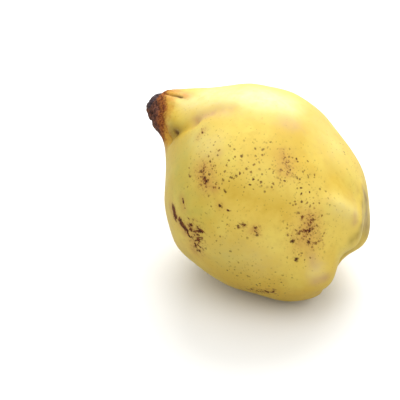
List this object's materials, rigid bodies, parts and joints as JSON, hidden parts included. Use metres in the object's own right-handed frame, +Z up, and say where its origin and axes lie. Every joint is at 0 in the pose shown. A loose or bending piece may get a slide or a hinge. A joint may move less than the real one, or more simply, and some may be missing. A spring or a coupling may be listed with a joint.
{
  "type": "quince",
  "caption": "Ripe yellow quince lying on its side, with a short neck, a dry stalk stub, blunt ribs and a dried calyx in its basin.",
  "frame": {"origin": "under the middle of the fruit's box, on the surface it lies on", "axes": "+Z up, away from the surface; the stalk end points to -X and is raised 25 degrees, the blossom end points to +X"},
  "size_m": [0.1028, 0.081, 0.0823],
  "materials": {
    "skin": "satin",
    "bark": "rough",
    "dried_calyx": "rough"
  },
  "bodies": {
    "root": {"fruit": "skin", "stem_stub": "bark", "sepal_1": "dried_calyx", "sepal_2": "dried_calyx", "sepal_3": "dried_calyx", "sepal_4": "dried_calyx", "sepal_5": "dried_calyx", "stamen_tuft": "dried_calyx"}
  },
  "joints": []
}
